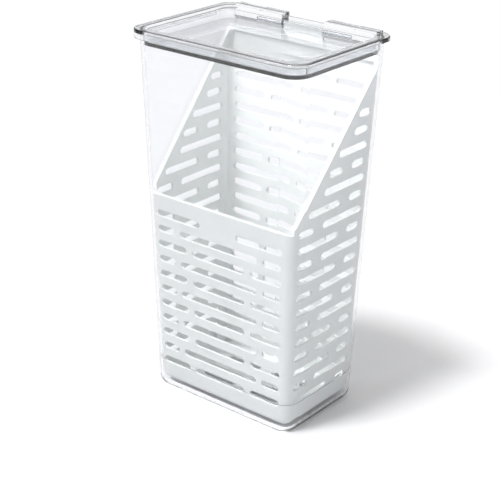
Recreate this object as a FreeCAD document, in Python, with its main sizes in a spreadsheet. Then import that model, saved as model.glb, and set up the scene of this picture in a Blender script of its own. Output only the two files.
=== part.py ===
import FreeCAD, Part
import math
import os

import Sketcher

# Herb keeper: a clear drafted tub, a white slotted basket in two halves, and a clear lid
# hinged on the basket's rear tab. Millimetres, +Z up, front at -Y, origin under the middle.

SIZES = {
    # Lid footprint and overall height
    "lid_width": 152.4,
    "lid_depth": 114.3,
    "lid_corner": 13.0,
    "lid_rise": 3.2,
    "hinge_rise": 4.0,
    # Tub
    "tub_base_width": 131.8,
    "tub_base_depth": 88.0,
    "tub_height": 283.0,
    "tub_wall": 2.2,
    "tub_floor": 2.6,
    "tub_corner": 14.0,
    "tub_base_round": 9.0,
    "foot_recess": 0.8,
    "foot_ring": 15.0,
    "hinge_gap_side": 2.0,
    "rim_drop": 1.2,
    # Basket
    "basket_gap": 1.8,
    "basket_wall": 2.0,
    "basket_floor_under": 7.0,
    "basket_floor": 2.2,
    "basket_corner": 6.6,
    "basket_round": 6.0,
    "rim_wall": 3.4,
    "rim_band": 3.6,
    "front_rim": 162.5,
    "rear_rim_drop": 13.0,
    "slope_drop": 2.0,
    "foot_radius": 4.0,
    "foot_inset": 20.0,
    "foot_seat": 0.3,
    "parting_depth": 3.4,
    "parting_gap": 0.15,
    # Slots
    "slot_pitch": 12.3,
    "slot_height": 5.6,
    "slot_low": 25.2,
    "slot_margin": 9.0,
    "edge_offset": 3.0,
    "slot_cut_inside": 7.0,
    "slot_cut_length": 25.0,
    "drain_side_inset": 22.0,
    "drain_end_inset": 28.0,
    # Lid
    "lid_skirt_wall": 1.8,
    "skirt_side_gap": 0.8,
    "skirt_end_gap": 0.85,
    "skirt_overlap": 3.4,
    "lid_seat": 0.3,
    "plug_gap": 0.6,
    "plug_depth": 8.0,
    "panel_thickness": 2.0,
    "recess_wall": 2.0,
    "recess_step": 1.6,
    "recess_step_depth": 3.2,
    "skirt_end": 36.0,
    "rim_round": 0.9,
    # Hinge
    "axis_inset": 1.5,
    "axis_drop": 3.8,
    "barrel_radius": 4.15,
    "tab_side_gap": 1.7,
    "barrel_end": 64.0,
    "pin_radius": 1.6,
    "pin_running_gap": 0.05,
    "pin_reach": 42.0,
    "pin_end_gap": 1.0,
    "pin_in_tab": 6.0,
    # Tab
    "tab_half_width": 17.2,
    "tab_drop": 1.6,
    "tab_front_gap": 1.0,
    "tab_rear_gap": 0.4,
    "tab_root": 14.0,
    "tab_root_seat": 0.3,
    "tab_neck": 1.9,
    "tab_corner": 4.0,
    # Loading pivot at the foot of the basket
    "pivot_height": 17.0,
    "pivot_forward": 9.0,
    "pivot_radius": 1.5,
    "ear_wall": 2.4,
    "ear_gap": 0.3,
    "ear_radius": 5.0,
}


def following(s):
    """Sizes that follow others: what fits round, in or on the tub, by its named clearance."""
    rear_rim = s["tub_height"] - s["rear_rim_drop"]
    skirt = s["lid_skirt_wall"] + s["skirt_side_gap"]
    tub_top_depth = s["lid_depth"] - 2 * (s["lid_skirt_wall"] + s["skirt_end_gap"])
    plug_inset = skirt + s["tub_wall"] + s["plug_gap"]
    return {
        "tub_top_width": s["lid_width"] - 2 * skirt,
        "tub_top_depth": tub_top_depth,
        "rim_top": s["tub_height"] + s["lid_rise"],
        "hinge_top": s["tub_height"] + s["hinge_rise"],
        "rear_rim": rear_rim,
        "slope_rear": rear_rim - s["slope_drop"],
        "lid_skirt_bottom": s["tub_height"] - s["skirt_overlap"],
        "plug_inset": plug_inset,
        "plug_bottom": s["tub_height"] - s["plug_depth"],
        "recess_inset": plug_inset + s["recess_wall"],
        "axis_back": tub_top_depth / 2 - s["axis_inset"],
        "axis_height": s["tub_height"] - s["axis_drop"],
        "hinge_gap_half": s["barrel_end"] + s["hinge_gap_side"],
        "barrel_start": s["tab_half_width"] + s["tab_side_gap"],
        "tab_top": s["tub_height"] - s["tab_drop"],
    }


SIZES.update({name: round(value, 4) for name, value in following(SIZES).items()})

doc = FreeCAD.newDocument("herb_keeper")
sheet = doc.addObject("Spreadsheet::Sheet", "sizes")
for row, (alias, value) in enumerate(SIZES.items(), 1):
    sheet.set(f"A{row}", alias)
    sheet.set(f"B{row}", str(value))
    sheet.setAlias(f"B{row}", alias)
doc.recompute()


def size(alias):
    """A size read back from the sheet, in millimetres."""
    return float(sheet.get(alias))


def origin_plane(body, role):
    """One of the body's own origin planes, found by its role."""
    return next(f for f in body.Origin.OriginFeatures if f.Role == role)


def new_sketch(body, name, role, offset="0"):
    """A sketch on one of the body's origin planes, moved along the plane's normal."""
    sketch = body.newObject("Sketcher::SketchObject", name)
    sketch.AttachmentSupport = [(origin_plane(body, role), "")]
    sketch.MapMode = "FlatFace"
    sketch.setExpression("AttachmentOffset.Base.z", offset)
    return sketch


def pin_point(sketch, geometry, point, across, up, start):
    """Two distances from the sketch's origin hold a point where the sheet says."""
    for kind, text, value in (("DistanceX", across, start.x), ("DistanceY", up, start.y)):
        index = sketch.addConstraint(Sketcher.Constraint(kind, -1, 1, geometry, point, value))
        sketch.setExpression(f"Constraints[{index}]", text)


def outline(sketch, corners):
    """A closed outline of straight sides, each corner held by two expressions."""
    count = len(corners)
    turn = 2 * math.pi / count
    start = [FreeCAD.Vector(40 * math.cos(k * turn), 40 * math.sin(k * turn), 0) for k in range(count)]
    first = len(sketch.Geometry)
    for k in range(count):
        sketch.addGeometry(Part.LineSegment(start[k], start[(k + 1) % count]))
    for k in range(count):
        after = first + (k + 1) % count
        sketch.addConstraint(Sketcher.Constraint("Coincident", first + k, 2, after, 1))
    for k, (across, up) in enumerate(corners):
        pin_point(sketch, first + k, 1, across, up, start[k])


def box_outline(sketch, left, right, low, high):
    """A rectangle between two expressions across and two up."""
    outline(sketch, [(left, low), (right, low), (right, high), (left, high)])


def centred_outline(sketch, half_width, half_depth):
    """A rectangle centred on the sketch's origin."""
    box_outline(sketch, f"-({half_width})", half_width, f"-({half_depth})", half_depth)


def circle(sketch, across, up, radius):
    """A circle whose centre and radius are held by expressions."""
    start = FreeCAD.Vector(30, 30, 0)
    index = sketch.addGeometry(Part.Circle(start, FreeCAD.Vector(0, 0, 1), 1))
    pin_point(sketch, index, 3, across, up, start)
    held = sketch.addConstraint(Sketcher.Constraint("Radius", index, 1))
    sketch.setExpression(f"Constraints[{held}]", radius)


def pad(body, sketch, name, length, symmetric=False, reverse=False):
    """Adds the sketch's prism to the body."""
    feature = body.newObject("PartDesign::Pad", name)
    feature.Profile = sketch
    feature.SideType = "Symmetric" if symmetric else "One side"
    feature.Reversed = reverse
    feature.setExpression("Length", length)
    doc.recompute()
    return feature


def pocket(body, sketch, name, length, symmetric=False, reverse=False):
    """Cuts the sketch's prism from the body and makes sure that it removed something."""
    before = body.Shape.Volume
    feature = body.newObject("PartDesign::Pocket", name)
    feature.Profile = sketch
    feature.SideType = "Symmetric" if symmetric else "One side"
    feature.Reversed = reverse
    feature.setExpression("Length", length)
    doc.recompute()
    if not body.Shape.Volume < before - 0.01:
        raise RuntimeError(f"{name} cut nothing")
    return feature


def faces_along(shape, axis):
    """Names of the flat faces that look mostly along an axis, either way."""
    names = []
    for number, face in enumerate(shape.Faces, 1):
        normal = face.normalAt(0, 0)
        if abs(normal.dot(axis)) > 0.9:
            names.append(f"Face{number}")
    return names


def edges_where(shape, test):
    """Names of the edges whose two ends pass the test."""
    names = []
    for number, edge in enumerate(shape.Edges, 1):
        first = edge.Vertexes[0].Point
        last = edge.Vertexes[-1].Point
        if test(first, last, edge):
            names.append(f"Edge{number}")
    return names


def fillet(body, base, name, radius, test):
    """Rounds the edges of the base feature that pass the test."""
    feature = body.newObject("PartDesign::Fillet", name)
    feature.Base = (base, edges_where(base.Shape, test))
    feature.setExpression("Radius", radius)
    doc.recompute()
    return feature


def upright(first, last, edge):
    """True for an edge that climbs more than it runs."""
    return abs(first.z - last.z) > 0.9 * edge.Length


# How far a cut runs past the solid that it cuts
PAST = "20"
TUB_INNER_CORNER = "sizes.tub_corner - sizes.tub_wall"
WALL_SLOPE = {
    "x": "atan((sizes.tub_top_width - sizes.tub_base_width) / 2 / sizes.tub_height)",
    "y": "atan((sizes.tub_top_depth - sizes.tub_base_depth) / 2 / sizes.tub_height)",
}
HALF_BASE_WIDTH = "sizes.tub_base_width / 2"
HALF_BASE_DEPTH = "sizes.tub_base_depth / 2"
BASKET_INSET = "sizes.tub_wall + sizes.basket_gap"


def half_depth_at(height, inset):
    """Half the tapered depth at a height, in from the tub's outside, as an expression."""
    growth = "(sizes.tub_top_depth - sizes.tub_base_depth) / 2 / sizes.tub_height"
    return f"({HALF_BASE_DEPTH} + ({height}) * {growth} - ({inset}))"


def drafted_block(name, inset, low, high, corner, round_low=None):
    """A block with the keeper's draft and rounded corners, set in from the tub's outside."""
    body = doc.addObject("PartDesign::Body", name)
    plan = new_sketch(body, name + "_plan", "XY_Plane", low)
    centred_outline(plan, f"{HALF_BASE_WIDTH} - ({inset})", f"{HALF_BASE_DEPTH} - ({inset})")
    feature = pad(body, plan, name + "_pad", f"({high}) - ({low})")
    for axis, direction in (("x", FreeCAD.Vector(1, 0, 0)), ("y", FreeCAD.Vector(0, 1, 0))):
        draft = body.newObject("PartDesign::Draft", f"{name}_draft_{axis}")
        draft.Base = (feature, faces_along(feature.Shape, direction))
        draft.NeutralPlane = (origin_plane(body, "XY_Plane"), [""])
        draft.Reversed = True
        draft.setExpression("Angle", WALL_SLOPE[axis])
        doc.recompute()
        feature = draft
    feature = fillet(body, feature, name + "_corners", corner, upright)
    if round_low:
        base = min(v.Z for v in feature.Shape.Vertexes)

        def at_base(first, last, edge):
            return abs(first.z - base) < 0.01 and abs(last.z - base) < 0.01

        fillet(body, feature, name + "_base", round_low, at_base)
    return body


def combine(body, name, kind, others):
    """A boolean of other bodies with this one."""
    feature = body.newObject("PartDesign::Boolean", name)
    feature.Type = kind
    feature.setObjects(others)
    doc.recompute()
    return feature


def add_slot(sketch, start, end, level, height):
    """One slot from start to end across, centred on a level, each end rounded by a few equal sides."""
    radius = height / 2
    points = []
    for middle, first_angle in ((end - radius, -90), (start + radius, 90)):
        for side in range(SLOT_END_SIDES + 1):
            angle = math.radians(first_angle + 180 * side / SLOT_END_SIDES)
            points.append(FreeCAD.Vector(middle + radius * math.cos(angle), level + radius * math.sin(angle), 0))
    for k, point in enumerate(points):
        sketch.addGeometry(Part.LineSegment(point, points[(k + 1) % len(points)]))


def half_across(axis, height, inset):
    """Half the tapered width or depth at a height, worked out from the sheet."""
    side = "width" if axis == "x" else "depth"
    base, top = size(f"tub_base_{side}") / 2, size(f"tub_top_{side}") / 2
    return base + (top - base) * height / size("tub_height") - inset


# Sides that round off each end of a slot, few because there are many slots
SLOT_END_SIDES = 4

# Where the slots of a row lie, as shares of the visible wall from its left edge to its right.
FRONT_FIRST_ROW = ((0.055, 0.375), (0.625, 0.945))
FRONT_ODD_ROW = ((0.055, 0.27), (0.31, 0.69), (0.73, 0.945))
FRONT_EVEN_ROW = ((0.06, 0.185), (0.22, 0.78), (0.815, 0.94))
REAR_EVEN_ROW = ((0.06, 0.47), (0.53, 0.94))
SIDE_LONG_FIRST = ((0.05, 0.60), (0.72, 0.90))
SIDE_SHORT_FIRST = ((0.05, 0.26), (0.365, 0.92))
FRONT_ROWS = 11
REAR_ROWS = 19


def basket_half(axis, level):
    """Half of the basket's outer width or depth at a level."""
    return half_across(axis, level, size("tub_wall") + size("basket_gap"))


def row_level(row):
    """Height of a slot row's middle, counted up from the lowest row."""
    return size("slot_low") + row * size("slot_pitch")


def slope_height(along):
    """Height of the basket's slanted side rim at a place along its depth."""
    front = -basket_half("y", size("front_rim"))
    rear = basket_half("y", size("slope_rear")) - size("parting_depth")
    share = (along - front) / (rear - front)
    return size("front_rim") + share * (size("slope_rear") - size("front_rim"))


def slope_place(height):
    """Where along the depth the slanted side rim reaches a height."""
    front = -basket_half("y", size("front_rim"))
    rear = basket_half("y", size("slope_rear")) - size("parting_depth")
    share = (height - size("front_rim")) / (size("slope_rear") - size("front_rim"))
    return front + share * (rear - front)


def front_slots(sketch):
    """Eleven rows down the front, the top one left open in its middle."""
    for row in range(FRONT_ROWS):
        from_top = FRONT_ROWS - 1 - row
        shares = FRONT_FIRST_ROW if from_top == 0 else (FRONT_EVEN_ROW, FRONT_ODD_ROW)[row % 2 == 0]
        level = row_level(row)
        half = basket_half("x", level)
        for start, end in shares:
            add_slot(sketch, (2 * start - 1) * half, (2 * end - 1) * half, level, size("slot_height"))


def side_slots(sketch):
    """Brick-like rows up the side, cut short where they near the slanted rim."""
    row = 0
    shortest = 1.6 * size("slot_height")
    while row_level(row) < size("rear_rim"):
        level = row_level(row)
        half = basket_half("y", level) - size("edge_offset")
        limit = -half
        if level + size("slot_margin") > size("front_rim"):
            limit = slope_place(level + size("slot_margin"))
        shares = SIDE_LONG_FIRST if row % 2 == 0 else SIDE_SHORT_FIRST
        for start, end in shares:
            low = max((2 * start - 1) * half, limit)
            high = (2 * end - 1) * half
            if high - low > shortest:
                add_slot(sketch, low, high, level, size("slot_height"))
        row += 1


def rear_slots(sketch):
    """The rear panel's rows, up to the blank band under its top edge."""
    for row in range(REAR_ROWS):
        level = row_level(row)
        half = basket_half("x", level)
        for start, end in (REAR_EVEN_ROW, FRONT_ODD_ROW)[row % 2 == 0]:
            add_slot(sketch, (2 * start - 1) * half, (2 * end - 1) * half, level, size("slot_height"))


def container_tub():
    """The clear tub: drafted walls, rounded foot and a lowered rear rim."""
    body = drafted_block("container_tub", "0", "0", "sizes.tub_height", "sizes.tub_corner", "sizes.tub_base_round")
    inner_round = "sizes.tub_base_round - sizes.tub_wall"
    hollow = drafted_block("tub_hollow", "sizes.tub_wall", "sizes.tub_floor", f"sizes.tub_height + {PAST}",
                           TUB_INNER_CORNER, inner_round)
    combine(body, "hollowed", "Cut", [hollow])
    # The lid's two hinge blocks hang in a lowered stretch of the rear wall
    gap = new_sketch(body, "rear_rim_outline", "XZ_Plane")
    seat = "sizes.axis_height - sizes.barrel_radius - sizes.rim_drop"
    box_outline(gap, "-sizes.hinge_gap_half", "sizes.hinge_gap_half", seat,
                f"sizes.tub_height + {PAST}")
    pocket(body, gap, "rear_rim_gap", "sizes.tub_top_depth")
    under = new_sketch(body, "underside_outline", "XY_Plane")
    half_width = f"{HALF_BASE_WIDTH} - sizes.foot_ring"
    half_depth = f"{HALF_BASE_DEPTH} - sizes.foot_ring"
    centred_outline(under, half_width, half_depth)
    pocket(body, under, "underside_recess", "sizes.foot_recess", reverse=True)
    return body


ABOVE_ALL = "1.3 * sizes.tub_height"


def above_slope(body, name, drop):
    """Cuts away what is above the slanted side rims, or a drop below them."""
    side = new_sketch(body, name + "_outline", "YZ_Plane")
    front = half_depth_at("sizes.front_rim", BASKET_INSET)
    rear = half_depth_at("sizes.slope_rear", f"{BASKET_INSET} + sizes.parting_depth")
    rise = f"(sizes.slope_rear - sizes.front_rim) / ({rear} + {front})"
    outline(side, [
        (f"-{front} - {PAST}", f"sizes.front_rim - {PAST} * {rise} - ({drop})"),
        (f"{rear} + {PAST}", f"sizes.slope_rear + {PAST} * {rise} - ({drop})"),
        (f"{rear} + {PAST}", ABOVE_ALL),
        (f"-{front} - {PAST}", ABOVE_ALL),
    ])
    return pocket(body, side, name, "2 * sizes.tub_top_width", symmetric=True)


def front_level(body, name, drop):
    """Levels the front rim, so that the slanted cut starts at the front wall."""
    side = new_sketch(body, name + "_outline", "YZ_Plane")
    front = half_depth_at("sizes.front_rim", BASKET_INSET)
    box_outline(side, f"-{front} - {PAST}", f"-{front} + sizes.rim_wall", f"sizes.front_rim - ({drop})",
                ABOVE_ALL)
    return pocket(body, side, name, "2 * sizes.tub_top_width", symmetric=True)


def parted(body, name, behind, gap):
    """Parts the basket along a plane that leans with the rear wall."""
    side = new_sketch(body, name + "_outline", "YZ_Plane")
    inset = f"{BASKET_INSET} + sizes.parting_depth"
    top = f"(sizes.tub_height + {PAST})"
    low_edge = f"{half_depth_at('0', inset)} + ({gap})"
    high_edge = f"{half_depth_at(top, inset)} + ({gap})"
    outer = "sizes.tub_top_depth" if behind else "-sizes.tub_top_depth"
    outline(side, [(low_edge, "0"), (outer, "0"), (outer, top), (high_edge, top)])
    return pocket(body, side, name, "2 * sizes.tub_top_width", symmetric=True)


def core(name, wall, top):
    """The hollow of the basket for a wall of a given thickness."""
    inset = f"{BASKET_INSET} + {wall}"
    floor_top = "sizes.basket_floor_under + sizes.basket_floor"
    return drafted_block(name, inset, floor_top, top, f"sizes.basket_corner - {wall}")


def basket_front():
    """Front, sides and floor in one piece, with a thick rolled rim that climbs to the rear."""
    body = drafted_block("basket_front", BASKET_INSET, "sizes.basket_floor_under",
                         "sizes.tub_height", "sizes.basket_corner", "sizes.basket_round")
    above_slope(body, "slanted_rim", "0")
    front_level(body, "front_rim_level", "0")
    thick = core("front_core_thick", "sizes.rim_wall", f"sizes.tub_height + {PAST}")
    thin = core("front_core_thin", "sizes.basket_wall", f"sizes.tub_height + {PAST}")
    above_slope(thin, "thin_core_slope", "sizes.rim_band")
    front_level(thin, "thin_core_level", "sizes.rim_band")
    combine(body, "front_hollow", "Cut", [thick, thin])
    parted(body, "front_parting", True, "-sizes.parting_gap")
    slots = new_sketch(body, "front_slot_rows", "XZ_Plane", f"{HALF_BASE_DEPTH} - sizes.slot_cut_inside")
    front_slots(slots)
    pocket(body, slots, "front_slots", "sizes.slot_cut_length", reverse=True)
    slots = new_sketch(body, "side_slot_rows", "YZ_Plane")
    side_slots(slots)
    pocket(body, slots, "side_slots", "2 * sizes.tub_top_width", symmetric=True)
    drain = new_sketch(body, "drain_rows", "XY_Plane")
    floor_slots(drain)
    pocket(body, drain, "drain_slots", f"sizes.basket_floor_under + sizes.basket_floor", reverse=True)
    feet = new_sketch(body, "feet_plan", "XY_Plane", "sizes.tub_floor + sizes.foot_seat")
    for across in (-1, 1):
        for back in (-1, 1):
            foot_outline(feet, across, back)
    pad(body, feet, "feet", "sizes.basket_floor_under + sizes.basket_floor / 2 - sizes.tub_floor - sizes.foot_seat")
    holes = new_sketch(body, "pivot_outline", "YZ_Plane")
    circle(holes, PIVOT_BACK, "sizes.pivot_height", "sizes.pivot_radius")
    pocket(body, holes, "pivot_holes", "2 * sizes.tub_top_width", symmetric=True)
    return body


def foot_outline(sketch, across, back):
    """A square foot near one corner of the basket's floor."""
    middle_x = f"{across} * ({HALF_BASE_WIDTH} - sizes.foot_inset)"
    middle_y = f"{back} * ({HALF_BASE_DEPTH} - sizes.foot_inset)"
    half = "sizes.foot_radius"
    box_outline(sketch, f"{middle_x} - {half}", f"{middle_x} + {half}", f"{middle_y} - {half}", f"{middle_y} + {half}")


PIVOT_BACK = (f"({half_depth_at('sizes.pivot_height', BASKET_INSET + ' + sizes.parting_depth')}"
              " - sizes.pivot_forward)")
DRAIN_ROWS = 4


def floor_slots(sketch):
    """Rows of slots through the basket's floor, where the stems reach the water."""
    half_width = size("tub_base_width") / 2 - size("drain_side_inset")
    half_depth = size("tub_base_depth") / 2 - size("drain_end_inset")
    gap = size("slot_height")
    for row in range(DRAIN_ROWS):
        level = half_depth * (2 * row / (DRAIN_ROWS - 1) - 1)
        inner = 2 * size("foot_radius") if row in (0, DRAIN_ROWS - 1) else 0
        add_slot(sketch, -half_width + inner, -gap, level, size("slot_height"))
        add_slot(sketch, gap, half_width - inner, level, size("slot_height"))


def basket_rear():
    """The tall slotted rear panel, whose tab reaches over the tub's rear rim to the hinge."""
    body = drafted_block("basket_rear", BASKET_INSET, "sizes.basket_floor_under", "sizes.rear_rim",
                         "sizes.basket_corner", "sizes.basket_round")
    thick = core("rear_core_thick", "sizes.rim_wall", f"sizes.tub_height + {PAST}")
    thin = core("rear_core_thin", "sizes.basket_wall", "sizes.rear_rim - sizes.rim_band")
    combine(body, "rear_hollow", "Cut", [thick, thin])
    parted(body, "rear_parting", False, "0")
    slots = new_sketch(body, "rear_slot_rows", "XZ_Plane", f"-({HALF_BASE_DEPTH} - sizes.slot_cut_inside)")
    rear_slots(slots)
    pocket(body, slots, "rear_slots", "sizes.slot_cut_length")
    add_tab(body)
    add_ears(body)
    return body


def add_tab(body):
    """The tab: a neck up from the panel and a head that lies over the lowered rear rim."""
    face = "sizes.axis_back - sizes.barrel_radius + sizes.tab_front_gap"
    rear = "sizes.axis_back + sizes.barrel_radius - sizes.tab_rear_gap"
    under = "sizes.axis_height - sizes.barrel_radius - sizes.rim_drop + sizes.foot_seat"
    side = new_sketch(body, "tab_profile", "YZ_Plane")
    panel_back = half_depth_at("sizes.rear_rim", BASKET_INSET)
    outline(side, [
        (f"{panel_back} - sizes.rim_wall", "sizes.rear_rim - sizes.tab_root"),
        (f"{panel_back} - sizes.tab_root_seat", "sizes.rear_rim - sizes.tab_root"),
        (f"{face} + sizes.tab_neck", under),
        (rear, under),
        (rear, "sizes.tab_top"),
        (face, "sizes.tab_top"),
        (face, "sizes.rear_rim"),
    ])
    tab = pad(body, side, "tab", "2 * sizes.tab_half_width", symmetric=True)
    top = size("tab_top")
    half = size("tab_half_width")

    def top_corner(first, last, edge):
        along_depth = abs(first.y - last.y) > 0.9 * edge.Length
        high = min(first.z, last.z) > top - 0.01
        outer = abs(abs(first.x) - half) < 0.01 and abs(abs(last.x) - half) < 0.01
        return along_depth and high and outer

    fillet(body, tab, "tab_corners", "sizes.tab_corner", top_corner)
    bore = new_sketch(body, "tab_bore_outline", "YZ_Plane", "-sizes.tab_half_width")
    circle(bore, "sizes.axis_back", "sizes.axis_height", "sizes.pin_radius")
    pocket(body, bore, "tab_bore_left", "sizes.pin_in_tab", reverse=True)
    bore = new_sketch(body, "tab_bore_outline_right", "YZ_Plane", "sizes.tab_half_width")
    circle(bore, "sizes.axis_back", "sizes.axis_height", "sizes.pin_radius")
    pocket(body, bore, "tab_bore_right", "sizes.pin_in_tab")


def add_ears(body):
    """Two ears at the foot of the rear panel, inside the sides, that carry the loading pivot."""
    half_inside = (f"({HALF_BASE_WIDTH} + (sizes.pivot_height - sizes.ear_radius)"
                   " * (sizes.tub_top_width - sizes.tub_base_width) / 2 / sizes.tub_height"
                   f" - ({BASKET_INSET}) - sizes.rim_wall - sizes.ear_gap)")
    back = half_depth_at("sizes.pivot_height", BASKET_INSET + " + sizes.basket_wall / 2")
    low = "sizes.pivot_height - sizes.ear_radius"
    high = "sizes.pivot_height + sizes.ear_radius"
    front = f"{PIVOT_BACK} - sizes.ear_radius"
    side = new_sketch(body, "ear_profile", "YZ_Plane", half_inside)
    box_outline(side, front, back, low, high)
    ear = pad(body, side, "ear_right", "sizes.ear_wall", reverse=True)
    mirror = body.newObject("PartDesign::Mirrored", "ear_left")
    mirror.Originals = [ear]
    mirror.MirrorPlane = (origin_plane(body, "YZ_Plane"), [""])
    body.Tip = mirror
    doc.recompute()
    holes = new_sketch(body, "ear_pivot_outline", "YZ_Plane")
    circle(holes, PIVOT_BACK, "sizes.pivot_height", "sizes.pivot_radius")
    pocket(body, holes, "ear_holes", "2 * sizes.tub_top_width", symmetric=True)


def pin_pair(name, across, length, back, height, radius):
    """Two equal pins on one axis, either side of the middle."""
    body = doc.addObject("PartDesign::Body", name + "_right")
    end = new_sketch(body, name + "_section", "YZ_Plane", across)
    circle(end, back, height, radius)
    pad(body, end, name + "_pad", length)
    mirrored = doc.addObject("Part::Mirroring", name + "_left")
    mirrored.Source = body
    mirrored.Normal = (1, 0, 0)
    both = doc.addObject("Part::Compound", name)
    both.Links = [body, mirrored]
    doc.recompute()
    return both


def lid_shell():
    """The clear lid: rim with a skirt, a stepped recess, a plug and two hinge blocks."""
    body = doc.addObject("PartDesign::Body", "lid_shell")
    half_width = "sizes.lid_width / 2"
    half_depth = "sizes.lid_depth / 2"
    groove_top = "sizes.tub_height + sizes.lid_seat"
    plan = new_sketch(body, "rim_plan", "XY_Plane", "sizes.lid_skirt_bottom")
    centred_outline(plan, half_width, half_depth)
    rim = pad(body, plan, "rim", "sizes.rim_top - sizes.lid_skirt_bottom")
    feature = fillet(body, rim, "rim_corners", "sizes.lid_corner", upright)
    edge_top = size("rim_top")

    def on_top(first, last, edge):
        return min(first.z, last.z) > edge_top - 0.01

    fillet(body, feature, "rim_edge", "sizes.rim_round", on_top)
    under = f"sizes.lid_skirt_bottom - {PAST}"
    skirt_corner = "sizes.lid_corner - sizes.lid_skirt_wall"
    groove = rounded_tool("skirt_groove", "sizes.lid_skirt_wall", under, groove_top, skirt_corner)
    combine(body, "under_rim", "Cut", [groove])
    # The skirt stops short of the rear corners, where the lid turns down past the tub
    back = new_sketch(body, "skirt_end_outline", "XY_Plane", under)
    box_outline(back, f"-{half_width} - {PAST}", f"{half_width} + {PAST}", "sizes.skirt_end", f"{half_depth} + {PAST}")
    pocket(body, back, "skirt_ends", f"{groove_top} - ({under})", reverse=True)
    plug = rounded_tool("plug", "sizes.plug_inset", "sizes.plug_bottom", "sizes.rim_top", TUB_INNER_CORNER, PLUG_REAR)
    combine(body, "with_plug", "Fuse", [plug])
    panel_top = "sizes.plug_bottom + sizes.panel_thickness"
    above = f"sizes.rim_top + {PAST}"
    wall = "(sizes.recess_inset - sizes.plug_inset)"
    wide = rounded_tool("wide_recess", "sizes.recess_inset", "sizes.rim_top - sizes.recess_step_depth", above,
                        f"{TUB_INNER_CORNER} - {wall}", f"{PLUG_REAR} - {wall}")
    deep = rounded_tool("deep_recess", "sizes.recess_inset + sizes.recess_step", panel_top, above,
                        f"{TUB_INNER_CORNER} - {wall} - sizes.recess_step", f"{PLUG_REAR} - {wall} - sizes.recess_step")
    combine(body, "recessed", "Cut", [deep, wide])
    add_hinge_blocks(body)
    return body


PLUG_REAR = "sizes.axis_back - sizes.barrel_radius"


def rounded_tool(name, inset, low, high, corner, rear=None):
    """A rounded block in from the lid's footprint, with its rear face at a place of its own."""
    body = doc.addObject("PartDesign::Body", name)
    plan = new_sketch(body, name + "_plan", "XY_Plane", low)
    side = f"sizes.lid_width / 2 - ({inset})"
    front = f"-(sizes.lid_depth / 2 - ({inset}))"
    box_outline(plan, f"-({side})", side, front, rear or f"sizes.lid_depth / 2 - ({inset})")
    feature = pad(body, plan, name + "_pad", f"({high}) - ({low})")
    fillet(body, feature, name + "_corners", corner, upright)
    return body


def add_hinge_blocks(body):
    """Two raised blocks at the rear edge, round below about the hinge axis, and their bores."""
    side = new_sketch(body, "block_profile", "YZ_Plane", "sizes.barrel_start")
    radius = "sizes.barrel_radius"
    front = "sizes.axis_back - sizes.barrel_radius"
    rear = "sizes.axis_back + sizes.barrel_radius"
    box_outline(side, front, rear, "sizes.axis_height", "sizes.hinge_top")
    block = pad(body, side, "block_right", "sizes.barrel_end - sizes.barrel_start")
    round_end = new_sketch(body, "barrel_section", "YZ_Plane", "sizes.barrel_start")
    circle(round_end, "sizes.axis_back", "sizes.axis_height", radius)
    barrel = pad(body, round_end, "barrel_right", "sizes.barrel_end - sizes.barrel_start")
    mirror = body.newObject("PartDesign::Mirrored", "blocks_left")
    mirror.Originals = [block, barrel]
    mirror.MirrorPlane = (origin_plane(body, "YZ_Plane"), [""])
    body.Tip = mirror
    doc.recompute()
    notch = new_sketch(body, "notch_outline", "XY_Plane", f"sizes.plug_bottom - {PAST}")
    box_outline(notch, "-sizes.barrel_start", "sizes.barrel_start", front, f"sizes.lid_depth / 2 + {PAST}")
    pocket(body, notch, "rear_notch", f"sizes.hinge_top - sizes.plug_bottom + 2 * {PAST}", reverse=True)
    bore = new_sketch(body, "bore_outline", "YZ_Plane")
    circle(bore, "sizes.axis_back", "sizes.axis_height", "sizes.pin_radius + sizes.pin_running_gap")
    pocket(body, bore, "pin_bores", "2 * (sizes.pin_reach + sizes.pin_end_gap)", symmetric=True)


def hinge_pins():
    """The two pins that the lid turns on, held in the tab and running in the blocks."""
    start = "sizes.tab_half_width - sizes.pin_in_tab"
    return pin_pair("hinge_pins", start, f"sizes.pin_reach - ({start})", "sizes.axis_back",
                    "sizes.axis_height", "sizes.pin_radius")


def pivot_pins():
    """The two pins at the foot, through the basket's sides and the rear panel's ears."""
    inner = (f"({HALF_BASE_WIDTH} + (sizes.pivot_height - sizes.ear_radius)"
             " * (sizes.tub_top_width - sizes.tub_base_width) / 2 / sizes.tub_height"
             f" - ({BASKET_INSET}) - sizes.rim_wall - sizes.ear_gap - sizes.ear_wall)")
    return pin_pair("pivot_pins", inner, "sizes.ear_wall + sizes.ear_gap + sizes.rim_wall",
                    PIVOT_BACK, "sizes.pivot_height", "sizes.pivot_radius")


NODES = {
    "container_tub": container_tub,
    "basket_front": basket_front,
    "basket_rear": basket_rear,
    "pivot_pins": pivot_pins,
    "lid_shell": lid_shell,
    "hinge_pins": hinge_pins,
}


def main():
    """Builds every piece, checks it and writes its file."""
    built = {name: make() for name, make in NODES.items()}
    doc.recompute()
    for feature in doc.Objects:
        if "Invalid" in feature.State or "Error" in feature.State:
            raise RuntimeError(f"{feature.Name} failed: {feature.State}")
    os.makedirs("parts", exist_ok=True)
    for name, piece in built.items():
        piece.Label = name
        if piece.Shape.isNull() or not piece.Shape.isValid():
            raise RuntimeError(f"{name} has no valid shape")
        piece.Shape.exportStep(f"parts/{name}.step")
        box = piece.Shape.BoundBox
        print(f"{name}: {len(piece.Shape.Solids)} solids, {piece.Shape.Volume:.0f} mm3, "
              f"x {box.XMin:.1f} {box.XMax:.1f}, y {box.YMin:.1f} {box.YMax:.1f}, z {box.ZMin:.1f} {box.ZMax:.1f}")


main()
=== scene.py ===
"""Looks of a herb keeper: a clear tub and hinged lid round a white slotted basket.

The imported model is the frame. Lengths are in metres, and every place comes from that frame.
"""

import math

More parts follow.
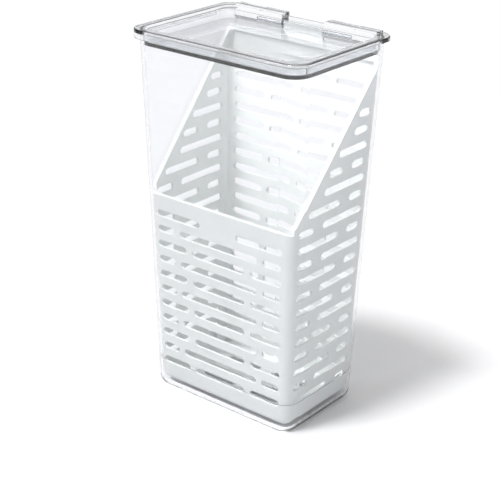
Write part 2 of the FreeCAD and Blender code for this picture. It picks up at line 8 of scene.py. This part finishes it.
import bmesh
import bpy
from bpy.props import FloatProperty, FloatVectorProperty, PointerProperty
from mathutils import Matrix, Vector


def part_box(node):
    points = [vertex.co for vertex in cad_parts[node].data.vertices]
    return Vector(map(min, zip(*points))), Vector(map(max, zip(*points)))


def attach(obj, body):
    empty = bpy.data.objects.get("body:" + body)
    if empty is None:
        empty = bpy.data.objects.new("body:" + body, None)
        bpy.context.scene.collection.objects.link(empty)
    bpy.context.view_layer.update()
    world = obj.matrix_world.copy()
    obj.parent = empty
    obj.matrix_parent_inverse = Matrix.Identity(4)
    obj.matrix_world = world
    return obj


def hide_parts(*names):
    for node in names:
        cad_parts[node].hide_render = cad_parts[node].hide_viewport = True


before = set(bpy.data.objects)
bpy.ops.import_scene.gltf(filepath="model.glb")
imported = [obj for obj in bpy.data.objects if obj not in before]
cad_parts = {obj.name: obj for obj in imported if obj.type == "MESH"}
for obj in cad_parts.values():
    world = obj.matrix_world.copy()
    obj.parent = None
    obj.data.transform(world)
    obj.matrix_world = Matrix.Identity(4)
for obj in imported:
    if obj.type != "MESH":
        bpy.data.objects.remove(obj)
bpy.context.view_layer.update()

# The tub's foot against its rim, across the width and the depth, and its corner radius
TUB_FOOT_SHARE = 131.8 / 147.2
TUB_FOOT_SHARE_DEPTH = 88.0 / 109.0
TUB_CORNER = 0.014
# The fill line's depth against its width, the share of that depth which is sunk in the wall,
# and the degrees between the points of its half-round section
LINE_DEPTH = 0.6
LINE_SUNK = 0.35
LINE_STEP = 30

# In the basket's smooth copies: vertices this near become one, faces this flat to each other are joined,
# and edges sharper than this are rounded
WELD = 0.000002
FLAT_ANGLE = math.radians(0.6)
SHARP_ANGLE = math.radians(50)

# The broad changes of tone and polish in a moulding, in changes per metre, and the strength of its grain
BROAD_PER_METRE = 28.0
GRAIN_STRENGTH = 0.25
# The middle of the noise's range, taken off so that tone and polish change both ways
NOISE_MIDDLE = 0.5
# How bright the frosted fill line is against the clear plastic, and how solid it is
FROST_SHARE = 0.5
FROST_ALPHA = 0.6
# The share of the light that the clear plastic lets straight through to what is inside
LIGHT_THROUGH = 0.93
# How wide and how sharp the painted shade is where clear plastic turns from the eye
TURN_BLEND = 0.3
TURN_SHARPNESS = 2.5

# Half the floor's width, and how far it lies below the keeper's foot
FLOOR_HALF = 40.0
FLOOR_DROP = 0.0002
# The side that the key light comes from, and the square fill light's place, width and aim
KEY_SIDE = (-0.32, -0.8, 1.95)
FILL_PLACE = (0.9, -0.5, 0.5)
FILL_SIZE = 0.8
FILL_AIM = (0.0, 0.0, 0.14)
# How far upward a direction points where the light from above is full
SKY_TOP = 0.8

bl_info = {
    "name": "Herb keeper looks",
    "version": (1, 0, 0),
    "blender": (4, 5, 0),
    "location": "View3D > Sidebar > Keeper",
    "description": "Clear and white moulded finishes, the fill line and the studio of a herb keeper",
    "category": "Object",
}


class KeeperColours(bpy.types.PropertyGroup):
    """The colours of the mouldings and of the studio."""

    clear_tint: FloatVectorProperty(
        name="Clear plastic", description="Tint of the tub and lid", subtype="COLOR",
        size=3, min=0.0, max=1.0, default=(0.955, 0.962, 0.975))
    # Painted shade: a grey mixed into the clear plastic where its faces turn from the eye, for its darker
    # edges
    clear_edge_painted_shade: FloatVectorProperty(
        name="Clear plastic's edge", description="Tint of the clear plastic where it turns from the eye",
        subtype="COLOR", size=3, min=0.0, max=1.0, default=(0.56, 0.57, 0.63))
    basket_white: FloatVectorProperty(
        name="Basket white", description="Colour of the slotted basket", subtype="COLOR",
        size=3, min=0.0, max=1.0, default=(0.82, 0.84, 0.835))
    pin_grey: FloatVectorProperty(
        name="Pin grey", description="Colour of the hinge pins", subtype="COLOR",
        size=3, min=0.0, max=1.0, default=(0.62, 0.64, 0.67))
    floor_white: FloatVectorProperty(
        name="Floor", description="Colour of the studio floor", subtype="COLOR",
        size=3, min=0.0, max=1.0, default=(0.9, 0.9, 0.91))
    sky_white: FloatVectorProperty(
        name="Surroundings", description="Colour of the light all round", subtype="COLOR",
        size=3, min=0.0, max=1.0, default=(1.0, 1.0, 1.0))


class KeeperFinish(bpy.types.PropertyGroup):
    """How the moulded surfaces are worked, and the tub's fill line."""

    basket_edge: FloatProperty(
        name="Basket edge", description="Width of the rounding on the basket's edges",
        default=0.0005, min=0.0, max=0.001, unit="LENGTH")
    clear_roughness: FloatProperty(
        name="Clear roughness", description="Polish of the clear plastic",
        default=0.03, min=0.0, max=1.0, subtype="FACTOR")
    basket_roughness: FloatProperty(
        name="Basket roughness", description="Polish of the white plastic",
        default=0.42, min=0.0, max=1.0, subtype="FACTOR")
    grain_size: FloatProperty(
        name="Grain size", description="Size of one grain in the moulded skin",
        default=0.0006, min=0.0001, max=0.01, unit="LENGTH")
    line_height: FloatProperty(
        name="Fill line height", description="Height of the moulded fill line above the floor",
        default=0.0262, min=0.012, max=0.1, unit="LENGTH")
    line_width: FloatProperty(
        name="Fill line width", description="Width of the moulded fill line",
        default=0.0007, min=0.0002, max=0.003, unit="LENGTH")


class KeeperStudio(bpy.types.PropertyGroup):
    """The camera and the lights."""

    turn: FloatProperty(
        name="Turn", description="Angle of the camera round the keeper, from its front to its right",
        default=math.radians(38.46), subtype="ANGLE")
    rise: FloatProperty(
        name="Rise", description="Angle of the camera above the floor",
        default=math.radians(23.53), subtype="ANGLE")
    tilt: FloatProperty(
        name="Tilt", description="Roll of the camera", default=math.radians(1.09), subtype="ANGLE")
    distance: FloatProperty(
        name="Distance", description="From the camera to the point that it aims at",
        default=1.0, min=0.1, unit="LENGTH")
    lens: FloatProperty(
        name="Lens", description="Focal length on a sensor 36 mm wide", default=96.1, min=10.0)
    aim_side: FloatProperty(
        name="Aim to the side", description="From the keeper's middle to the aim, across the view",
        default=-0.0052, unit="LENGTH")
    aim_height: FloatProperty(
        name="Aim height", description="Height of the aim above the floor",
        default=0.1226, unit="LENGTH")
    key_strength: FloatProperty(
        name="Key light", description="Strength of the soft light from the front left", default=2.05, min=0.0)
    key_spread: FloatProperty(
        name="Key spread", description="Width of the key light, seen from the keeper",
        default=math.radians(11.0), subtype="ANGLE")
    fill_power: FloatProperty(
        name="Fill light", description="Power of the light at the right", default=1.5, min=0.0)
    sky_strength: FloatProperty(
        name="Light from above", description="Strength of the surroundings overhead", default=0.62, min=0.0)
    side_strength: FloatProperty(
        name="Light from the sides", description="Strength of the surroundings at floor level",
        default=0.42, min=0.0)
    backdrop_strength: FloatProperty(
        name="Backdrop", description="Least brightness of the surroundings where the camera sees them",
        default=0.92, min=0.0)


def settings():
    """The three groups of settings, as the scene holds them."""
    scene = bpy.context.scene
    return scene.keeper_colours, scene.keeper_finish, scene.keeper_studio


def new_material(name):
    """An empty node material with its output and Principled shader."""
    material = bpy.data.materials.new(name)
    material.use_nodes = True
    tree = material.node_tree
    tree.nodes.clear()
    output = tree.nodes.new("ShaderNodeOutputMaterial")
    output.location = (600, 0)
    shader = tree.nodes.new("ShaderNodeBsdfPrincipled")
    shader.location = (300, 0)
    tree.links.new(shader.outputs["BSDF"], output.inputs["Surface"])
    return material, tree, shader


def moulded_skin():
    """Node group: a fine moulded grain, with its height and its change of tone and polish."""
    name = "moulded_skin"
    if name in bpy.data.node_groups:
        return bpy.data.node_groups[name]
    group = bpy.data.node_groups.new(name, "ShaderNodeTree")
    face = group.interface
    face.new_socket("Grain per Metre", in_out="INPUT", socket_type="NodeSocketFloat")
    face.new_socket("Colour", in_out="INPUT", socket_type="NodeSocketColor")
    face.new_socket("Tone Change", in_out="INPUT", socket_type="NodeSocketFloat")
    face.new_socket("Polish", in_out="INPUT", socket_type="NodeSocketFloat")
    face.new_socket("Polish Change", in_out="INPUT", socket_type="NodeSocketFloat")
    face.new_socket("Colour", in_out="OUTPUT", socket_type="NodeSocketColor")
    face.new_socket("Roughness", in_out="OUTPUT", socket_type="NodeSocketFloat")
    face.new_socket("Height", in_out="OUTPUT", socket_type="NodeSocketFloat")
    nodes = group.nodes
    links = group.links
    given = nodes.new("NodeGroupInput")
    result = nodes.new("NodeGroupOutput")
    place = nodes.new("ShaderNodeTexCoord")
    fine = nodes.new("ShaderNodeTexNoise")
    fine.inputs["Detail"].default_value = 2.0
    links.new(place.outputs["Object"], fine.inputs["Vector"])
    links.new(given.outputs["Grain per Metre"], fine.inputs["Scale"])
    links.new(fine.outputs["Fac"], result.inputs["Height"])
    broad = nodes.new("ShaderNodeTexNoise")
    broad.inputs["Scale"].default_value = BROAD_PER_METRE
    broad.inputs["Detail"].default_value = 3.0
    links.new(place.outputs["Object"], broad.inputs["Vector"])
    centred = nodes.new("ShaderNodeMath")
    centred.operation = "SUBTRACT"
    centred.inputs[1].default_value = NOISE_MIDDLE
    links.new(broad.outputs["Fac"], centred.inputs[0])
    polish = nodes.new("ShaderNodeMath")
    polish.operation = "MULTIPLY_ADD"
    links.new(centred.outputs[0], polish.inputs[0])
    links.new(given.outputs["Polish Change"], polish.inputs[1])
    links.new(given.outputs["Polish"], polish.inputs[2])
    links.new(polish.outputs[0], result.inputs["Roughness"])
    brightness = nodes.new("ShaderNodeMath")
    brightness.operation = "MULTIPLY_ADD"
    brightness.inputs[2].default_value = 1.0
    links.new(centred.outputs[0], brightness.inputs[0])
    links.new(given.outputs["Tone Change"], brightness.inputs[1])
    toned = nodes.new("ShaderNodeVectorMath")
    toned.operation = "SCALE"
    links.new(given.outputs["Colour"], toned.inputs[0])
    links.new(brightness.outputs[0], toned.inputs["Scale"])
    links.new(toned.outputs[0], result.inputs["Colour"])
    return group


def add_skin(tree, shader, colour, grain_size, depth, tone_change, polish, polish_change):
    """Places the moulded skin in a material and joins it to the shader, with its grain in metres."""
    skin = tree.nodes.new("ShaderNodeGroup")
    skin.node_tree = moulded_skin()
    skin.inputs["Grain per Metre"].default_value = 1.0 / grain_size
    skin.inputs["Colour"].default_value = (*colour, 1.0)
    skin.inputs["Tone Change"].default_value = tone_change
    skin.inputs["Polish"].default_value = polish
    skin.inputs["Polish Change"].default_value = polish_change
    tree.links.new(skin.outputs["Colour"], shader.inputs["Base Color"])
    tree.links.new(skin.outputs["Roughness"], shader.inputs["Roughness"])
    bump = tree.nodes.new("ShaderNodeBump")
    bump.inputs["Strength"].default_value = GRAIN_STRENGTH
    bump.inputs["Distance"].default_value = depth
    tree.links.new(skin.outputs["Height"], bump.inputs["Height"])
    tree.links.new(bump.outputs["Normal"], shader.inputs["Normal"])


def satin_plastic(name, colour):
    """Satin moulding with a fine grain."""
    finish = settings()[1]
    material, tree, shader = new_material(name)
    add_skin(
        tree, shader, colour, grain_size=finish.grain_size, depth=0.00004,
        tone_change=0.05, polish=finish.basket_roughness, polish_change=0.12)
    shader.inputs["IOR"].default_value = 1.49
    return material


def frosted_plastic(name):
    """Clear plastic that a mould's worked surface has dulled to grey."""
    colours = settings()[0]
    material, tree, shader = new_material(name)
    grey = [FROST_SHARE * part for part in colours.clear_tint]
    add_skin(
        tree, shader, grey, grain_size=0.001, depth=0.00002,
        tone_change=0.05, polish=0.35, polish_change=0.1)
    shader.inputs["Alpha"].default_value = FROST_ALPHA
    return material


def paint_shade_on_turned_faces(tree, shader, colour):
    """Paints shade onto the plastic where a face turns from the eye, for the darker look of a thick moulded
    edge.
    """
    turned = tree.nodes.new("ShaderNodeLayerWeight")
    turned.inputs["Blend"].default_value = TURN_BLEND
    sharper = tree.nodes.new("ShaderNodeMath")
    sharper.operation = "POWER"
    sharper.inputs[1].default_value = TURN_SHARPNESS
    tree.links.new(turned.outputs["Facing"], sharper.inputs[0])
    mix = tree.nodes.new("ShaderNodeMix")
    mix.data_type = "RGBA"
    plain = shader.inputs["Base Color"].links[0].from_socket
    tree.links.new(sharper.outputs[0], mix.inputs["Factor"])
    tree.links.new(plain, mix.inputs["A"])
    mix.inputs["B"].default_value = (*colour, 1.0)
    tree.links.new(mix.outputs["Result"], shader.inputs["Base Color"])


def clear_plastic(name):
    """Polished clear moulding that lets light through to what is inside."""
    colours, finish, _ = settings()
    material, tree, shader = new_material(name)
    add_skin(
        tree, shader, colours.clear_tint, grain_size=0.03, depth=0.000004,
        tone_change=0.01, polish=finish.clear_roughness, polish_change=0.02)
    shader.inputs["IOR"].default_value = 1.46
    shader.inputs["Transmission Weight"].default_value = 1.0
    # Painted shade: grey mixed into the clear plastic where its faces turn from the eye
    paint_shade_on_turned_faces(tree, shader, colours.clear_edge_painted_shade)
    path = tree.nodes.new("ShaderNodeLightPath")
    solid = tree.nodes.new("ShaderNodeMath")
    solid.operation = "MULTIPLY_ADD"
    solid.inputs[1].default_value = -LIGHT_THROUGH
    solid.inputs[2].default_value = 1.0
    tree.links.new(path.outputs["Is Shadow Ray"], solid.inputs[0])
    tree.links.new(solid.outputs[0], shader.inputs["Alpha"])
    return material


def wall_outline(height):
    """Half width, half depth and corner radius of the tub's outside at a height, read from its box."""
    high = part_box("container_tub")[1]
    share = height / high[2]
    grown = TUB_FOOT_SHARE + (1.0 - TUB_FOOT_SHARE) * share
    grown_depth = TUB_FOOT_SHARE_DEPTH + (1.0 - TUB_FOOT_SHARE_DEPTH) * share
    return high[0] * grown, high[1] * grown_depth, TUB_CORNER


def rounded_rectangle(half_width, half_depth, corner, steps=8):
    """Points of a rectangle with round corners, counter-clockwise."""
    points = []
    for turn, (x, y) in enumerate(((1, -1), (1, 1), (-1, 1), (-1, -1))):
        centre = (x * (half_width - corner), y * (half_depth - corner))
        first = math.radians(90 * turn - 90)
        for step in range(steps + 1):
            angle = first + math.radians(90) * step / steps
            points.append((centre[0] + corner * math.cos(angle), centre[1] + corner * math.sin(angle)))
    return points


def moulded_line(name, height, width, depth):
    """A low half-round line that runs round the tub's wall."""
    turns = [math.radians(angle) for angle in range(-90, 91, LINE_STEP)]
    section = [(math.cos(turn), math.sin(turn)) for turn in turns]
    shape = bmesh.new()
    rings = []
    for out, up in section:
        level = height + up * width / 2
        half_width, half_depth, corner = wall_outline(level)
        grown = depth * out - depth * LINE_SUNK
        points = rounded_rectangle(half_width + grown, half_depth + grown, corner + grown)
        rings.append([shape.verts.new((x, y, level)) for x, y in points])
    count = len(rings[0])
    for lower, upper in zip(rings, rings[1:]):
        for k in range(count):
            shape.faces.new((lower[k], lower[(k + 1) % count], upper[(k + 1) % count], upper[k]))
    for k in range(count):
        shape.faces.new((rings[-1][k], rings[-1][(k + 1) % count], rings[0][(k + 1) % count], rings[0][k]))
    for face in shape.faces:
        face.smooth = True
    mesh = bpy.data.meshes.new(name)
    shape.to_mesh(mesh)
    shape.free()
    piece = bpy.data.objects.new(name, mesh)
    bpy.context.collection.objects.link(piece)
    return piece


def softened(node, body, width, material):
    """A smooth copy of a CAD node with its sharp edges rounded, in the node's own place."""
    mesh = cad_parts[node].data.copy()
    mesh.name = node + "_moulded"
    shape = bmesh.new()
    shape.from_mesh(mesh)
    bmesh.ops.remove_doubles(shape, verts=shape.verts, dist=WELD)
    bmesh.ops.dissolve_limit(
        shape, angle_limit=FLAT_ANGLE, use_dissolve_boundaries=False,
        verts=shape.verts, edges=shape.edges)
    for face in shape.faces:
        face.smooth = True
    shape.to_mesh(mesh)
    shape.free()
    mesh.materials.clear()
    mesh.materials.append(material)
    piece = bpy.data.objects.new(node + "_moulded", mesh)
    bpy.context.collection.objects.link(piece)
    rounding = piece.modifiers.new("rounding", "BEVEL")
    rounding.width = width
    rounding.segments = 2
    rounding.limit_method = "ANGLE"
    rounding.angle_limit = SHARP_ANGLE
    rounding.miter_outer = "MITER_ARC"
    weighting = piece.modifiers.new("weighting", "WEIGHTED_NORMAL")
    weighting.keep_sharp = True
    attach(piece, body)
    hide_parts(node)
    return piece


class KEEPER_OT_basket(bpy.types.Operator):
    """Makes the two white basket halves, with softened slot edges, and whitens their pivot pins"""

    bl_idname = "keeper.basket"
    bl_label = "Basket"

    def execute(self, context):
        colours, finish, _ = settings()
        white = satin_plastic("basket_white", colours.basket_white)
        for node in ("basket_front", "basket_rear"):
            softened(node, "basket", finish.basket_edge, white)
        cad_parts["pivot_pins"].material_slots[0].material = white
        return {"FINISHED"}


class KEEPER_OT_tub(bpy.types.Operator):
    """Gives the tub its clear plastic and its fill line"""

    bl_idname = "keeper.tub"
    bl_label = "Tub"

    def execute(self, context):
        finish = settings()[1]
        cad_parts["container_tub"].material_slots[0].material = clear_plastic("tub_clear")
        width = finish.line_width
        line = moulded_line("fill_line", finish.line_height, width, width * LINE_DEPTH)
        line.data.materials.append(frosted_plastic("line_frosted"))
        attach(line, "container")
        return {"FINISHED"}


class KEEPER_OT_lid(bpy.types.Operator):
    """Gives the lid its clear plastic and the hinge pins their grey"""

    bl_idname = "keeper.lid"
    bl_label = "Lid"

    def execute(self, context):
        colours = settings()[0]
        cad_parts["lid_shell"].material_slots[0].material = clear_plastic("lid_clear")
        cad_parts["hinge_pins"].material_slots[0].material = satin_plastic("pin_grey", colours.pin_grey)
        return {"FINISHED"}


class KEEPER_OT_studio(bpy.types.Operator):
    """Sets the pale floor, the lights, the surroundings and the camera"""

    bl_idname = "keeper.studio"
    bl_label = "Studio"

    def execute(self, context):
        colours, _, studio = settings()
        add_floor(colours.floor_white)
        add_lights(studio)
        add_surroundings(colours.sky_white, studio)
        add_camera(studio)
        return {"FINISHED"}


def add_floor(colour):
    """A pale floor, far wider than the view."""
    shape = bmesh.new()
    bmesh.ops.create_grid(shape, x_segments=8, y_segments=8, size=FLOOR_HALF)
    mesh = bpy.data.meshes.new("floor")
    shape.to_mesh(mesh)
    shape.free()
    floor = bpy.data.objects.new("floor", mesh)
    floor.location.z = -FLOOR_DROP
    bpy.context.collection.objects.link(floor)
    material, tree, shader = new_material("floor_paper")
    add_skin(
        tree, shader, colour, grain_size=0.004, depth=0.00002,
        tone_change=0.0, polish=0.6, polish_change=0.05)
    mesh.materials.append(material)


def add_area(name, place, aim, size, power):
    """A square soft light that faces a point."""
    light = bpy.data.lights.new(name, "AREA")
    light.size = size
    light.energy = power
    lamp = bpy.data.objects.new(name, light)
    lamp.location = place
    lamp.rotation_euler = (Vector(aim) - Vector(place)).to_track_quat("-Z", "Y").to_euler()
    bpy.context.collection.objects.link(lamp)


def add_lights(studio):
    """A soft key light high at the front left, and a weak fill light at the right."""
    key = bpy.data.lights.new("key_light", "SUN")
    key.energy = studio.key_strength
    key.angle = studio.key_spread
    lamp = bpy.data.objects.new("key_light", key)
    lamp.rotation_euler = Vector(KEY_SIDE).to_track_quat("Z", "Y").to_euler()
    bpy.context.collection.objects.link(lamp)
    add_area("fill_light", FILL_PLACE, FILL_AIM, FILL_SIZE, studio.fill_power)


def add_surroundings(colour, studio):
    """Pale light from all round, weaker at floor level, and lifted to the backdrop for the camera."""
    world = bpy.data.worlds.new("surroundings")
    world.use_nodes = True
    tree = world.node_tree
    background = tree.nodes["Background"]
    background.inputs["Color"].default_value = (*colour, 1.0)
    place = tree.nodes.new("ShaderNodeTexCoord")
    parts = tree.nodes.new("ShaderNodeSeparateXYZ")
    strength = tree.nodes.new("ShaderNodeMapRange")
    strength.inputs["From Max"].default_value = SKY_TOP
    strength.inputs["To Min"].default_value = studio.side_strength
    strength.inputs["To Max"].default_value = studio.sky_strength
    tree.links.new(place.outputs["Generated"], parts.inputs[0])
    tree.links.new(parts.outputs["Z"], strength.inputs["Value"])
    path = tree.nodes.new("ShaderNodeLightPath")
    seen = tree.nodes.new("ShaderNodeMath")
    seen.operation = "MULTIPLY"
    seen.inputs[1].default_value = studio.backdrop_strength
    tree.links.new(path.outputs["Is Camera Ray"], seen.inputs[0])
    brighter = tree.nodes.new("ShaderNodeMath")
    brighter.operation = "MAXIMUM"
    tree.links.new(strength.outputs["Result"], brighter.inputs[0])
    tree.links.new(seen.outputs[0], brighter.inputs[1])
    tree.links.new(brighter.outputs[0], background.inputs["Strength"])
    bpy.context.scene.world = world
    bpy.context.scene.view_settings.view_transform = "Standard"


def add_camera(studio):
    """The camera, placed by its turn and rise round the keeper."""
    flat = math.cos(studio.rise)
    back = Vector((math.sin(studio.turn) * flat, -math.cos(studio.turn) * flat, math.sin(studio.rise)))
    right = Vector((math.cos(studio.turn), math.sin(studio.turn), 0.0))
    above = back.cross(right)
    across = right * math.cos(studio.tilt) + above * math.sin(studio.tilt)
    above = back.cross(across)
    camera = bpy.data.objects.new("camera", bpy.data.cameras.new("camera"))
    camera.data.lens = studio.lens
    camera.data.sensor_width = 36.0
    camera.data.clip_start = 0.01
    aim = right * studio.aim_side + Vector((0.0, 0.0, studio.aim_height))
    place = Matrix((across, above, back)).transposed().to_4x4()
    place.translation = aim + back * studio.distance
    camera.matrix_world = place
    bpy.context.collection.objects.link(camera)
    bpy.context.scene.camera = camera


class KEEPER_PT_panel(bpy.types.Panel):
    """Lists the steps that make the keeper's looks"""

    bl_label = "Herb keeper"
    bl_idname = "KEEPER_PT_panel"
    bl_space_type = "VIEW_3D"
    bl_region_type = "UI"
    bl_category = "Keeper"

    def draw(self, context):
        for step in STEPS:
            self.layout.operator(step.bl_idname)


STEPS = (KEEPER_OT_tub, KEEPER_OT_basket, KEEPER_OT_lid, KEEPER_OT_studio)
GROUPS = {
    "keeper_colours": KeeperColours,
    "keeper_finish": KeeperFinish,
    "keeper_studio": KeeperStudio,
}


def register():
    """Registers the settings, the steps and the panel."""
    for name, group in GROUPS.items():
        bpy.utils.register_class(group)
        setattr(bpy.types.Scene, name, PointerProperty(type=group))
    for step in STEPS:
        bpy.utils.register_class(step)
    bpy.utils.register_class(KEEPER_PT_panel)


def unregister():
    """Takes the panel, the steps and the settings out again."""
    bpy.utils.unregister_class(KEEPER_PT_panel)
    for step in reversed(STEPS):
        bpy.utils.unregister_class(step)
    for name, group in reversed(GROUPS.items()):
        delattr(bpy.types.Scene, name)
        bpy.utils.unregister_class(group)


def main():
    """Makes the looks step by step."""
    register()
    bpy.ops.keeper.tub()
    bpy.ops.keeper.basket()
    bpy.ops.keeper.lid()
    bpy.ops.keeper.studio()


if __name__ == "__main__":
    main()
